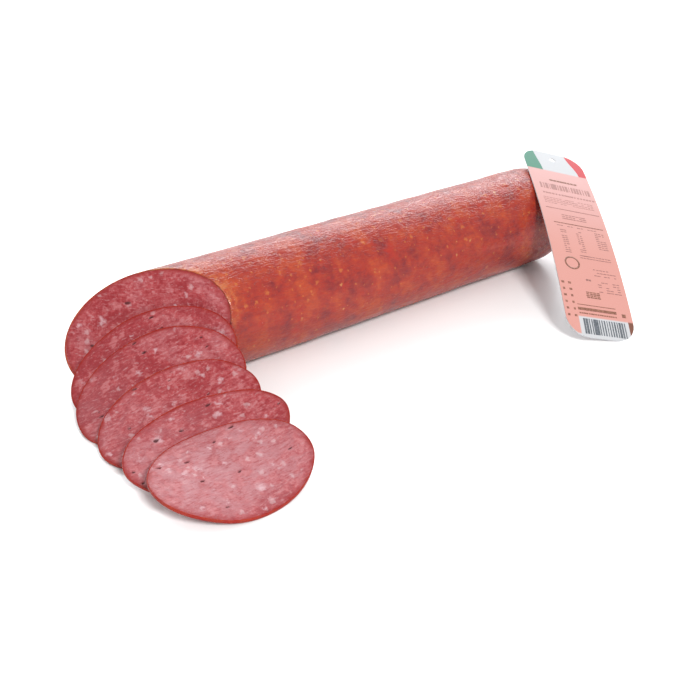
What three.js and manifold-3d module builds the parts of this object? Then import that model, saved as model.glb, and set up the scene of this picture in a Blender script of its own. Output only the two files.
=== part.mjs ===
// A cured sausage lying on its side: a long log of ground meat in a tight casing, cut on a slant at
// one end, with five slices tipped forward from the cut in a fan, a crimped clip that closes the
// other end, and a stiff card tag that leans on that end.
//
// Millimetres, +Z up. The log runs along X with its cut end towards -X. The origin is the middle
// of the narrow flat on which the log rests.
import * as THREE from "three";
import { mergeVertices } from "three/addons/utils/BufferGeometryUtils.js";
import Module from "manifold-3d";

// ---- driving dimensions ----
const LOG_RADIUS = 32.5;
const LOG_LENGTH = 314; // from the middle of the cut face to the tip of the domed end
const REST_SINK = 0.5; // how far the soft log settles, which gives it a flat to rest on
const CASING_WALL = 0.5;
const GAP = 0.3; // clearance between pieces that touch
const SLICE_THICKNESS = 1.9;

const MID = LOG_LENGTH / 2;
const AXIS_Z = LOG_RADIUS - REST_SINK;

// The slanted cut passes through the log's axis. It is turned towards the front (-Y) and leans
// back, so the face and the slices taken from it are ovals.
const CUT = { x: -MID, turn: deg(43), lean: deg(32) };

// The domed end and the gathered casing beyond it.
const DOME = { start: MID - 26, tip: MID, power: 2.6, pleatsFrom: MID - 15 };
const NECK = { radius: 3.4, length: 5 };
const TAIL = { radius: 7, length: 9 };
const PLEATS = 20;

const CLIP = { halfWidth: 5.6, halfHeight: 4.9, wire: 1.9, band: 2.6 };

const TAG = { width: 44.5, length: 167.5, thickness: 0.6, corner: 14, holeRadius: 2.2, holeFromTop: 8 };
// The tag stands on one lower corner, leans back over the domed end and droops and twists slightly.
const TAG_POSE = {
  x: MID - 77,
  y: -121.4,
  heading: deg(56.7),
  rise: deg(30.8),
  droop: deg(15.4),
  twist: deg(-2.9),
  roll: deg(-13.8),
};

// Half-axes of the oval that the slanted cut makes. Each slice is a little smaller than it.
const OVAL = { long: 48, short: 32.5 };

// The five slices, from the one leaning on the cut face to the one lying in front. x and y place
// a slice's middle, facing is the way it has tipped, rise is how far it has gone from upright to
// flat, and roll turns its long axis. sag and curl are its bends up the slope and across it, in
// 1/mm, and long and short are its own half-axes as shares of the oval.
const SLICES = [
  { x: -7.8, y: -21, facing: 224, rise: 48.5, roll: 29, sag: 0.004, curl: -0.0025, long: 0.98, short: 0.97 },
  { x: -12.5, y: -34.2, facing: 225, rise: 55.5, roll: 30, sag: 0.006, curl: -0.0045, long: 0.97, short: 0.97 },
  { x: -13.4, y: -57, facing: 234, rise: 63.5, roll: 29, sag: 0.006, curl: 0, long: 0.91, short: 0.88 },
  { x: -12.5, y: -82.8, facing: 253, rise: 70.5, roll: 18, sag: 0.005, curl: 0.006, long: 0.93, short: 0.84 },
  { x: -15, y: -108.4, facing: 278, rise: 78, roll: -6, sag: -0.003, curl: 0.006, long: 0.88, short: 0.95 },
];

// How finely the round shapes are divided.
const AROUND_LOG = 40;
const AROUND_SLICE = 32;
const ALONG_LOG = 7;
const ALONG_DOME = 6;

const MATERIALS = {
  meat: new THREE.MeshStandardMaterial({ color: 0xb4555c, roughness: 0.5, metalness: 0 }),
  casing: new THREE.MeshStandardMaterial({ color: 0xa83a26, roughness: 0.35, metalness: 0 }),
  clip: new THREE.MeshStandardMaterial({ color: 0xb8babd, roughness: 0.35, metalness: 1 }),
  card: new THREE.MeshStandardMaterial({ color: 0xf5a99b, roughness: 0.45, metalness: 0 }),
};

const wasm = await Module();
wasm.setup();

function deg(angle) {
  return (angle * Math.PI) / 180;
}

// A closed body skinned over rings of points, all with the same count. With loop false each end
// ring is closed by a fan; with loop true the last ring joins the first.
function skin(rings, loop = false) {
  const n = rings[0].length;
  const points = rings.flat();
  const faces = [];
  const spans = loop ? rings.length : rings.length - 1;
  for (let i = 0; i < spans; i++) {
    const a = i * n;
    const b = ((i + 1) % rings.length) * n;
    for (let k = 0; k < n; k++) {
      const next = (k + 1) % n;
      faces.push([a + k, a + next, b + next], [a + k, b + next, b + k]);
    }
  }
  if (!loop) {
    fan(points, faces, 0, n, true);
    fan(points, faces, (rings.length - 1) * n, n, false);
  }
  return turnedOut(points, faces);
}

function fan(points, faces, start, n, flip) {
  const middle = new THREE.Vector3();
  for (let k = 0; k < n; k++) middle.addScaledVector(points[start + k], 1 / n);
  const hub = points.push(middle) - 1;
  for (let k = 0; k < n; k++) {
    const next = start + ((k + 1) % n);
    faces.push(flip ? [hub, next, start + k] : [hub, start + k, next]);
  }
}

// The geometry of a closed body, with its faces pointing out whichever way its rings ran.
function turnedOut(points, faces) {
  let volume = 0;
  for (const [a, b, c] of faces) {
    volume += points[a].dot(new THREE.Vector3().crossVectors(points[b], points[c]));
  }
  const index = faces.flatMap(([a, b, c]) => (volume > 0 ? [a, b, c] : [a, c, b]));
  const geometry = new THREE.BufferGeometry().setFromPoints(points);
  geometry.setIndex(index);
  geometry.computeVertexNormals();
  return geometry;
}

function solidOf(geometry) {
  const bare = new THREE.BufferGeometry().setAttribute("position", geometry.getAttribute("position"));
  bare.setIndex(geometry.index);
  const merged = mergeVertices(bare, 1e-4);
  return new wasm.Manifold(
    new wasm.Mesh({
      numProp: 3,
      vertProperties: new Float32Array(merged.attributes.position.array),
      triVerts: new Uint32Array(merged.index.array),
    }),
  );
}

function geometryOf(solid) {
  const { vertProperties, triVerts } = solid.getMesh();
  const geometry = new THREE.BufferGeometry();
  geometry.setAttribute("position", new THREE.BufferAttribute(vertProperties, 3));
  geometry.setIndex(new THREE.BufferAttribute(triVerts, 1));
  geometry.computeVertexNormals();
  return geometry;
}

function piece(name, geometry, material) {
  const mesh = new THREE.Mesh(geometry, material);
  mesh.name = name;
  return mesh;
}

// ---- the log ----

// Where the slanted cut meets a line along the log.
function cutX(y, z) {
  return CUT.x - Math.tan(CUT.turn) * y + Math.tan(CUT.lean) * (z - AXIS_Z);
}

// A round section across the log, flattened where it rests. at(y, z) gives each point's x.
function section(radius, at, pleat = 0) {
  return Array.from({ length: AROUND_LOG }, (_, k) => {
    const angle = (2 * Math.PI * (k + 0.5)) / AROUND_LOG - Math.PI / 2;
    const fold = pleat * (0.5 + 0.5 * Math.cos((PLEATS * 2 * Math.PI * k) / AROUND_LOG));
    const y = (radius + fold) * Math.cos(angle);
    const floor = LOG_RADIUS - radius;
    const z = Math.max(floor, AXIS_Z + (radius + fold) * Math.sin(angle));
    return new THREE.Vector3(at(y, z), y, z);
  });
}

// The body from the cut to where the dome starts, as sections that turn from slanted to square.
function barrel(radius) {
  return Array.from({ length: ALONG_LOG }, (_, i) => {
    const share = i / (ALONG_LOG - 1);
    return section(radius, (y, z) => THREE.MathUtils.lerp(cutX(y, z), DOME.start, share));
  });
}

// The domed end, down to where its radius meets the given smallest one.
function dome(radius, tip, smallest, pleat = 0) {
  return Array.from({ length: ALONG_DOME }, (_, i) => {
    const share = Math.sin((Math.PI / 2) * ((i + 1) / (ALONG_DOME + 0.15)));
    const x = THREE.MathUtils.lerp(DOME.start, tip, share);
    const r = Math.max(smallest, radius * Math.sqrt(Math.max(0, 1 - share ** DOME.power)));
    const folded = pleat * THREE.MathUtils.smoothstep(x, DOME.pleatsFrom, tip);
    return section(r, () => x, folded);
  });
}

function meatLog() {
  const inset = CASING_WALL + GAP;
  return skin([...barrel(LOG_RADIUS - inset), ...dome(LOG_RADIUS - inset, DOME.tip - inset, NECK.radius)]);
}

// The casing: its inner wall from the closed end back to the cut, then its outer wall from the
// cut to the gathered neck and the tail that sticks out past the clip.
function casingLog() {
  const inner = LOG_RADIUS - CASING_WALL;
  const square = (x) => () => x;
  const neckEnd = DOME.tip + NECK.length;
  return skin([
    ...[...barrel(inner), ...dome(inner, DOME.tip - CASING_WALL, NECK.radius)].reverse(),
    ...barrel(LOG_RADIUS),
    ...dome(LOG_RADIUS, DOME.tip, NECK.radius + 1.2, 0.5),
    section(NECK.radius, square(DOME.tip + 0.8)),
    section(NECK.radius, square(neckEnd)),
    section(TAIL.radius * 0.8, square(neckEnd + TAIL.length * 0.5), 1.2),
    section(TAIL.radius, square(neckEnd + TAIL.length), 1.6),
  ]);
}

// A flat band of metal closed into an oval round the gathered neck.
function endClip() {
  const x = DOME.tip + 0.8 + NECK.length / 2 - 0.4;
  const count = 24;
  const rings = Array.from({ length: count }, (_, k) => {
    const angle = (2 * Math.PI * k) / count;
    const out = new THREE.Vector3(0, Math.cos(angle), Math.sin(angle));
    const oval = new THREE.Vector3(x, CLIP.halfWidth * out.y, AXIS_Z + CLIP.halfHeight * out.z);
    return [
      [-1, -1],
      [1, -1],
      [1, 1],
      [-1, 1],
    ].map(([along, away]) =>
      oval
        .clone()
        .addScaledVector(out, (away * CLIP.wire) / 2)
        .add(new THREE.Vector3((along * CLIP.band) / 2, 0, 0)),
    );
  });
  return skin(rings, true);
}

// ---- the slices ----

// The two directions in a slice's own plane, and its upward normal.
function sliceFrame({ facing, rise, roll }) {
  const f = deg(facing);
  const e = deg(rise);
  const normal = new THREE.Vector3(Math.cos(e) * Math.cos(f), Math.cos(e) * Math.sin(f), Math.sin(e));
  const level = new THREE.Vector3(0, 0, 1).cross(normal).normalize();
  const upslope = new THREE.Vector3().crossVectors(normal, level);
  return { normal, level, upslope, turn: deg(roll) };
}

// A point of a bent slice, from its place in the oval (long and short, in mm) and its height in
// the thickness. The middle of the slice is at the origin of x and y.
function slicePoint(slice, frame, long, short, height) {
  const up = Math.sin(frame.turn) * long + Math.cos(frame.turn) * short;
  const across = Math.cos(frame.turn) * long - Math.sin(frame.turn) * short;
  const bend = 0.5 * (slice.sag * up ** 2 + slice.curl * across ** 2);
  return new THREE.Vector3(CUT.x + slice.x, slice.y, 0)
    .addScaledVector(frame.level, across)
    .addScaledVector(frame.upslope, up)
    .addScaledVector(frame.normal, bend + height);
}

// An oval ring of points on a slice, inset from its outer edge.
function sliceRing(slice, frame, share, inset, height) {
  const long = share * (OVAL.long * slice.long - inset);
  const short = share * (OVAL.short * slice.short - inset);
  return Array.from({ length: AROUND_SLICE }, (_, k) => {
    const angle = (2 * Math.PI * k) / AROUND_SLICE;
    return slicePoint(slice, frame, long * Math.cos(angle), short * Math.sin(angle), height);
  });
}

// The meat and the hoop of casing of one slice, lowered until the hoop touches the floor.
function sliceParts(slice) {
  const frame = sliceFrame(slice);
  const half = SLICE_THICKNESS / 2;
  const inset = CASING_WALL + GAP;
  const shares = [0.36, 0.7, 1];
  const meat = skin([
    ...shares.map((share) => sliceRing(slice, frame, share, inset, -half)),
    ...shares.map((share) => sliceRing(slice, frame, share, inset, half)).reverse(),
  ]);
  const hoop = skin(
    [
      sliceRing(slice, frame, 1, CASING_WALL, -half),
      sliceRing(slice, frame, 1, 0, -half),
      sliceRing(slice, frame, 1, 0, half),
      sliceRing(slice, frame, 1, CASING_WALL, half),
    ],
    true,
  );
  hoop.computeBoundingBox();
  const lift = -hoop.boundingBox.min.z;
  return [meat, hoop].map((geometry) => geometry.translate(0, 0, lift));
}

// ---- the tag ----

// Half the tag's width at a distance from its lower edge, with its round corners.
function tagHalfWidth(s) {
  const toEnd = Math.min(s, TAG.length - s);
  const into = Math.max(0, TAG.corner - toEnd);
  return TAG.width / 2 - TAG.corner + Math.sqrt(TAG.corner ** 2 - into ** 2);
}

// The tag's centre line, sideways direction and normal at a distance from its lower edge.
function tagFrame(s) {
  const { x, y, heading, rise, droop, twist, roll } = TAG_POSE;
  const forward = new THREE.Vector3(Math.cos(heading), Math.sin(heading), 0);
  const sideways = new THREE.Vector3(Math.sin(heading), -Math.cos(heading), 0);
  const bend = droop / TAG.length;
  const angle = rise - bend * s;
  const along = (Math.sin(rise) - Math.sin(angle)) / bend;
  const height = (Math.cos(angle) - Math.cos(rise)) / bend;
  const centre = new THREE.Vector3(x, y, height).addScaledVector(forward, along);
  const upright = forward.clone().multiplyScalar(-Math.sin(angle)).setZ(Math.cos(angle));
  const turn = roll + (twist * s) / TAG.length;
  const across = sideways.clone().multiplyScalar(Math.cos(turn)).addScaledVector(upright, Math.sin(turn));
  const normal = upright.clone().multiplyScalar(Math.cos(turn)).addScaledVector(sideways, -Math.sin(turn));
  return { centre, across, normal };
}

function hangTag() {
  const corner = [0, 0.08, 0.3, 0.6, 1].map((share) => share * TAG.corner);
  const straight = Array.from({ length: 9 }, (_, i) =>
    THREE.MathUtils.lerp(TAG.corner, TAG.length - TAG.corner, (i + 1) / 10),
  );
  const stations = [...corner, ...straight, ...corner.map((s) => TAG.length - s).reverse()];
  const columns = [-1, -0.5, 0, 0.5, 1];
  const rings = stations.map((s) => {
    const { centre, across, normal } = tagFrame(s);
    const half = tagHalfWidth(s);
    const side = (order, height) =>
      order.map((share) => centre.clone().addScaledVector(across, share * half).addScaledVector(normal, height));
    return [...side(columns, -TAG.thickness / 2), ...side([...columns].reverse(), TAG.thickness / 2)];
  });
  const { centre, normal } = tagFrame(TAG.length - TAG.holeFromTop);
  const punch = new THREE.CylinderGeometry(TAG.holeRadius, TAG.holeRadius, TAG.thickness * 8, 20);
  punch.applyQuaternion(new THREE.Quaternion().setFromUnitVectors(new THREE.Vector3(0, 1, 0), normal));
  punch.translate(centre.x, centre.y, centre.z);
  const card = geometryOf(solidOf(skin(rings)).subtract(solidOf(punch)));
  card.computeBoundingBox();
  return card.translate(0, 0, -card.boundingBox.min.z);
}

// ---- assembly ----

const sausage = new THREE.Group();
sausage.add(
  piece("log_meat", meatLog(), MATERIALS.meat),
  piece("log_casing", casingLog(), MATERIALS.casing),
  piece("end_clip", endClip(), MATERIALS.clip),
  piece("hang_tag", hangTag(), MATERIALS.card),
);
SLICES.forEach((slice, i) => {
  const [meat, hoop] = sliceParts(slice);
  sausage.add(
    piece(`slice_${i + 1}_meat`, meat, MATERIALS.meat),
    piece(`slice_${i + 1}_casing`, hoop, MATERIALS.casing),
  );
});

export default sausage;
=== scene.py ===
"""A cured sausage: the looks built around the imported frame.

The log and its slices are made again as dense meshes, with the pits, grain and wrinkles of the
real thing in their shape. Their places and bends are measured from the frame's own nodes.
Metres throughout.
"""

import math
import random

import bpy
import numpy as np
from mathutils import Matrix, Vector


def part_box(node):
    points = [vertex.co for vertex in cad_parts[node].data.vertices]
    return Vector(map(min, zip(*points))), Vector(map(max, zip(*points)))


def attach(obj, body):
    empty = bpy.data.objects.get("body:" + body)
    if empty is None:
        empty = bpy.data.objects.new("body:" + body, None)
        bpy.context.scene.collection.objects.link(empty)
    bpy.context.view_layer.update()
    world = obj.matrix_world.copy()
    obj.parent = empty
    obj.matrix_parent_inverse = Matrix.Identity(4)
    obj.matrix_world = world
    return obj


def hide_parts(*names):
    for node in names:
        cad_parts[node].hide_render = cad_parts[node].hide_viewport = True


MM = 0.001
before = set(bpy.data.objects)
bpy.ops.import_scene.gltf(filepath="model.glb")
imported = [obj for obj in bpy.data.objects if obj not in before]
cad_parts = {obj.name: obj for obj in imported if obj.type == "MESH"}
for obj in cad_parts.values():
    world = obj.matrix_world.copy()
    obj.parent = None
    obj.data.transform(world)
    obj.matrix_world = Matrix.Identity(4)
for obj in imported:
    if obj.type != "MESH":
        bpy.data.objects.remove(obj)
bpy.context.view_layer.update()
CLIP_LOW, CLIP_HIGH = (Vector(corner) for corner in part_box("end_clip"))
LOG_LOW, LOG_HIGH = (Vector(corner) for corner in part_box("log_casing"))
SLICE_COUNT = 5

# ---- sizes ----
FACET_SAG = 0.1 * MM  # how far the solid's flat sides lie inside the true circle
RADIUS = (LOG_HIGH.y - LOG_LOW.y) / 2 + FACET_SAG
AXIS_Z = (CLIP_LOW.z + CLIP_HIGH.z) / 2
WALL = 0.5 * MM  # the casing's thickness
MEAT_OVERLAP = 0.02 * MM  # how far the meat reaches into its casing
RIM_SINK = 0.05 * MM  # how far the meat sits below the edge of its casing
FLOOR_GAP = 0.02 * MM  # no vertex comes lower than this
DOME_TIP = CLIP_LOW.x - 1.4 * MM
DOME_LENGTH = 26 * MM
DOME_POWER = 2.6  # above 2 the closed end is squarer than a ball
NECK_RADIUS = 3.4 * MM
TAIL_RADIUS = 6.6 * MM
TAIL_FLARE = 0.7 * MM  # how far the tail's ragged end may reach past its last even ring
COARSE_PLEATS = 17
FINE_PLEATS = 29
CLIP_WIRE = 1.9 * MM
CLIP_CRIMPS = 8
INK_LIFT = 0.14 * MM  # thickness of the printed marks, half of it above the card

# how finely each piece is divided
AROUND_LOG = 240
ALONG_LOG = 330
ALONG_DOME = 40
ALONG_TAIL = 14
FACE_GRID = 190
SLICE_GRID = 170
AROUND_HOOP = 420
AROUND_CLIP = 96
AROUND_CLIP_WIRE = 16
ALONG_TAG = 70
ACROSS_TAG = 25
CORNER_STEPS = 12
AROUND_HOLE = 48


# ---- node trees ----


class Graph:
    """Adds nodes to one shader or geometry tree. An input takes a socket or a plain value."""

    def __init__(self, tree):
        self.tree = tree

    def feed(self, socket, value):
        if isinstance(value, bpy.types.NodeSocket):
            self.tree.links.new(value, socket)
        else:
            socket.default_value = value

    def add(self, kind, feeds=None, **settings):
        node = self.tree.nodes.new(kind)
        for name, value in settings.items():
            setattr(node, name, value)
        for key, value in (feeds or {}).items():
            self.feed(node.inputs[key], value)
        return node

    def math(self, operation, a, b=0.0):
        return self.add("ShaderNodeMath", {0: a, 1: b}, operation=operation).outputs[0]

    def vector(self, operation, a, b):
        return self.add("ShaderNodeVectorMath", {0: a, 1: b}, operation=operation).outputs[0]

    def scaled(self, vector, factor):
        node = self.add("ShaderNodeVectorMath", {0: vector, "Scale": factor}, operation="SCALE")
        return node.outputs[0]

    def noise(self, place, scale, detail=3.0, roughness=0.55, output="Fac"):
        feeds = {"Vector": place, "Scale": scale, "Detail": detail, "Roughness": roughness}
        return self.add("ShaderNodeTexNoise", feeds).outputs[output]

    def relief(self, place, scale, detail):
        """Noise that rises and falls about nought."""
        return self.math("SUBTRACT", self.noise(place, scale, detail), 0.5)

    def ramp(self, value, low, high, to_low=0.0, to_high=1.0):
        feeds = {"Value": value, "From Min": low, "From Max": high, "To Min": to_low, "To Max": to_high}
        node = self.add("ShaderNodeMapRange", feeds, interpolation_type="SMOOTHSTEP")
        return node.outputs["Result"]

    def mix(self, factor, a, b):
        node = self.add("ShaderNodeMix", data_type="RGBA")
        for index, value in ((0, factor), (6, a), (7, b)):
            self.feed(node.inputs[index], value)
        return node.outputs[2]

    def tint(self, shade, mask, strength, color):
        """The shade turned towards a colour where the mask is high."""
        return self.mix(self.math("MULTIPLY", mask, strength), shade, color)

    def tint_past(self, shade, value, low, high, strength, color):
        """The shade turned towards a colour as a value goes from low to high."""
        return self.mix(self.ramp(value, low, high, 0.0, strength), shade, color)

    def use_group(self, name, feeds):
        """A shared shader group placed in this tree: its outputs."""
        node = self.add("ShaderNodeGroup", node_tree=bpy.data.node_groups[name])
        for label, value in feeds.items():
            self.feed(node.inputs[label], value)
        return node.outputs


def new_group(name, kind, inputs, outputs):
    """An empty node group with named sockets: its graph, what comes in and what goes out."""
    tree = bpy.data.node_groups.new(name, kind)
    for label, socket_type, value in inputs:
        socket = tree.interface.new_socket(label, in_out="INPUT", socket_type=socket_type)
        if value is not None:
            socket.default_value = value
    for label, socket_type in outputs:
        tree.interface.new_socket(label, in_out="OUTPUT", socket_type=socket_type)
    graph = Graph(tree)
    return graph, graph.add("NodeGroupInput").outputs, graph.add("NodeGroupOutput").inputs


FLOAT = "NodeSocketFloat"
VECTOR = "NodeSocketVector"
COLOR = "NodeSocketColor"
GEOMETRY = "NodeSocketGeometry"
MATERIAL = "NodeSocketMaterial"


def flecks_into(graph, place, scale, share, size, softness, ragged, dimensions="3D"):
    """The mask of scattered ragged spots."""
    wander = graph.noise(place, graph.math("MULTIPLY", scale, 2.2), 2.0, 0.6, "Color")
    wander = graph.vector("SUBTRACT", wander, (0.5, 0.5, 0.5))
    wander = graph.scaled(wander, graph.math("DIVIDE", ragged, scale))
    cells = graph.add(
        "ShaderNodeTexVoronoi",
        {"Vector": graph.vector("ADD", place, wander), "Scale": scale},
        voronoi_dimensions=dimensions,
    )
    chance = graph.add("ShaderNodeSeparateXYZ", {0: cells.outputs["Color"]}).outputs
    picked = graph.math("LESS_THAN", chance[0], share)
    uneven = graph.math("ADD", graph.math("MULTIPLY", chance[1], 0.6), 0.4)
    edge = graph.math("MULTIPLY", uneven, size)
    inner = graph.math("MULTIPLY", edge, graph.math("SUBTRACT", 1.0, softness))
    mask = graph.ramp(cells.outputs["Distance"], inner, edge, 1.0, 0.0)
    return graph.math("MULTIPLY", mask, picked)


def make_flecks_group():
    """Scattered spots, as a group that every material shares."""
    inputs = [
        ("Vector", VECTOR, None),
        ("Scale", FLOAT, 150.0),
        ("Share", FLOAT, 0.3),
        ("Size", FLOAT, 0.4),
        ("Softness", FLOAT, 0.4),
        ("Ragged", FLOAT, 0.5),
    ]
    graph, given, out = new_group("Flecks", "ShaderNodeTree", inputs, [("Mask", FLOAT)])
    graph.feed(out["Mask"], flecks_into(graph, *(given[label] for label, _, _ in inputs)))


def make_mottle_group():
    """Three colours in cloudy patches."""
    inputs = [
        ("Vector", VECTOR, None),
        ("Scale", FLOAT, 100.0),
        ("Spread", FLOAT, 0.15),
        ("Low", COLOR, None),
        ("Middle", COLOR, None),
        ("High", COLOR, None),
    ]
    outputs = [("Color", COLOR), ("Cloud", FLOAT)]
    graph, given, out = new_group("Mottle", "ShaderNodeTree", inputs, outputs)
    cloud = graph.noise(given["Vector"], given["Scale"], 4.0, 0.6)
    below = graph.math("SUBTRACT", 0.5, given["Spread"])
    above = graph.math("ADD", 0.5, given["Spread"])
    lower = graph.mix(graph.ramp(cloud, below, 0.5), given["Low"], given["Middle"])
    graph.feed(out["Color"], graph.mix(graph.ramp(cloud, 0.5, above), lower, given["High"]))
    graph.feed(out["Cloud"], cloud)


def make_wrinkles_group():
    """Fine branching creases that run along the given vector's first axis."""
    inputs = [("Vector", VECTOR, None), ("Scale", FLOAT, 300.0), ("Stretch", FLOAT, 0.25)]
    graph, given, out = new_group("Wrinkles", "ShaderNodeTree", inputs, [("Height", FLOAT)])
    squash = graph.add("ShaderNodeCombineXYZ", {0: given["Stretch"], 1: 1.0, 2: 1.0}).outputs[0]
    along = graph.vector("MULTIPLY", given["Vector"], squash)
    cloud = graph.noise(along, given["Scale"], 3.0, 0.6)
    crease = graph.math("ABSOLUTE", graph.math("SUBTRACT", cloud, 0.5))
    graph.feed(out["Height"], graph.ramp(crease, 0.0, 0.1))


def flecks(graph, place, scale, share, size, softness, ragged):
    feeds = {
        "Vector": place, "Scale": scale, "Share": share,
        "Size": size, "Softness": softness, "Ragged": ragged,
    }
    return graph.use_group("Flecks", feeds)["Mask"]


def mottle(graph, place, scale, spread, low, middle, high):
    feeds = {
        "Vector": place, "Scale": scale, "Spread": spread,
        "Low": low, "Middle": middle, "High": high,
    }
    return graph.use_group("Mottle", feeds)


def wrinkles(graph, place, scale, stretch):
    return graph.use_group("Wrinkles", {"Vector": place, "Scale": scale, "Stretch": stretch})["Height"]


# ---- materials ----


def new_material(name, **principled):
    """A material with its shader, whose uniform values are set on its own sockets."""
    material = bpy.data.materials.new(name)
    material.use_nodes = True
    graph = Graph(material.node_tree)
    shader = material.node_tree.nodes["Principled BSDF"]
    for label, value in principled.items():
        shader.inputs[label.replace("_", " ")].default_value = value
    return material, graph, shader


def object_place(graph):
    return graph.add("ShaderNodeTexCoord").outputs["Object"]


def attribute(graph, name, output="Fac"):
    return graph.add("ShaderNodeAttribute", attribute_name=name).outputs[output]


def bump(graph, shader, height, distance, strength):
    """Fine relief for the surface and for the gloss on it."""
    node = graph.add("ShaderNodeBump", {"Height": height, "Distance": distance, "Strength": strength})
    graph.feed(shader.inputs["Normal"], node.outputs["Normal"])
    graph.feed(shader.inputs["Coat Normal"], node.outputs["Normal"])


DEEP_RED = (0.21, 0.012, 0.017, 1)
MEAT_PINK = (0.30, 0.040, 0.045, 1)
PALE_PINK = (0.375, 0.112, 0.118, 1)
GREY_PINK = (0.285, 0.090, 0.100, 1)
SOFT_FAT = (0.43, 0.235, 0.24, 1)
CLOUDY_FAT = (0.46, 0.285, 0.305, 1)
WHITE_FAT = (0.50, 0.365, 0.375, 1)
PIT_PAINTED_SHADE = (0.060, 0.005, 0.008, 1)
RIM_RED = (0.22, 0.011, 0.010, 1)
VEIL_PINK = (0.365, 0.165, 0.180, 1)


def make_meat():
    """Ground meat as the knife leaves it: cloudy reds, smeared grain, soft fat and pits darkened with
    painted shade.
    """
    material, graph, shader = new_material(
        "cut_meat", Subsurface_Weight=0.12, Subsurface_Scale=2.0 * MM, Specular_IOR_Level=0.3
    )
    shader.inputs["Subsurface Radius"].default_value = (1.0, 0.35, 0.3)
    place = attribute(graph, "meat_place", "Vector")
    swirl = attribute(graph, "swirl", "Vector")
    broad = graph.noise(place, 42.0, 2.0)
    middling = graph.noise(place, 130.0, 3.0, 0.6)
    streak = graph.noise(swirl, 1.0, 4.0, 0.65)
    shade = mottle(graph, place, 520.0, 0.2, DEEP_RED, MEAT_PINK, PALE_PINK)["Color"]
    red = mottle(graph, place, 420.0, 0.22, DEEP_RED, DEEP_RED, MEAT_PINK)["Color"]
    shade = graph.tint_past(shade, broad, 0.46, 0.62, 0.85, red)
    grey = graph.ramp(broad, 0.34, 0.52, 1.0, 0.0)
    shade = graph.tint(shade, grey, 0.45, GREY_PINK)
    shade = graph.tint_past(shade, middling, 0.52, 0.66, 0.8, PALE_PINK)
    shade = graph.tint_past(shade, middling, 0.47, 0.34, 0.85, DEEP_RED)
    shade = graph.tint_past(shade, streak, 0.56, 0.74, 0.5, PALE_PINK)
    shade = graph.tint_past(shade, streak, 0.42, 0.26, 0.55, DEEP_RED)
    crumbs = flecks(graph, place, scale=700.0, share=0.35, size=0.45, softness=0.5, ragged=0.8)
    shade = graph.tint(shade, crumbs, 0.5, PALE_PINK)
    # The meat is turned paler in patches where its pallor attribute is high.
    paleness = graph.ramp(middling, 0.62, 0.4, 0.25, 0.75)
    shade = graph.tint(shade, attribute(graph, "pallor"), paleness, VEIL_PINK)
    cloudy_fat = flecks(graph, place, scale=150.0, share=0.34, size=0.56, softness=0.8, ragged=0.9)
    shade = graph.tint(shade, cloudy_fat, 0.75, CLOUDY_FAT)
    combed = graph.vector("MULTIPLY", place, (0.3, 1.0, 1.0))
    scratch = graph.noise(combed, 900.0, 3.0, 0.7)
    shade = graph.tint_past(shade, scratch, 0.48, 0.36, 0.5, DEEP_RED)
    shade = graph.tint_past(shade, scratch, 0.54, 0.7, 0.4, SOFT_FAT)
    shade = graph.tint(shade, attribute(graph, "fat"), 0.38, WHITE_FAT)
    ragged = graph.ramp(middling, 0.4, 0.58, 0.2, 0.95)
    shade = graph.tint(shade, attribute(graph, "rim"), ragged, RIM_RED)
    # Painted shade: the air pits are coloured almost black-red, as if in shadow.
    shade = graph.tint(shade, attribute(graph, "pit"), 0.95, PIT_PAINTED_SHADE)
    graph.feed(shader.inputs["Base Color"], shade)
    rough = graph.noise(place, 240.0, 3.0)
    graph.feed(shader.inputs["Roughness"], graph.ramp(rough, 0.3, 0.7, 0.36, 0.6))
    fine = graph.noise(place, 900.0, 3.0, 0.65)
    height = graph.math("ADD", graph.math("MULTIPLY", fine, 0.5), graph.math("MULTIPLY", streak, 0.5))
    bump(graph, shader, height, 0.45 * MM, 0.9)
    return material


SKIN_MAROON = (0.155, 0.014, 0.016, 1)
SKIN_BRICK = (0.275, 0.024, 0.014, 1)
SKIN_ORANGE = (0.35, 0.050, 0.016, 1)
SKIN_RED = (0.32, 0.016, 0.010, 1)
SKIN_FAT = (0.45, 0.135, 0.032, 1)
SKIN_PALE = (0.54, 0.27, 0.09, 1)
HOOP_RED = (0.25, 0.012, 0.009, 1)

SKIN_SPOTS = (
    # colour, strength, scale, share, size, softness, ragged
    (SKIN_RED, 0.6, 85.0, 0.4, 0.6, 0.9, 1.0),
    (SKIN_FAT, 0.55, 150.0, 0.5, 0.3, 0.7, 0.6),
    (SKIN_FAT, 0.55, 330.0, 0.25, 0.4, 0.6, 0.7),
    (SKIN_PALE, 0.6, 100.0, 0.3, 0.17, 0.7, 0.5),
)


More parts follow.
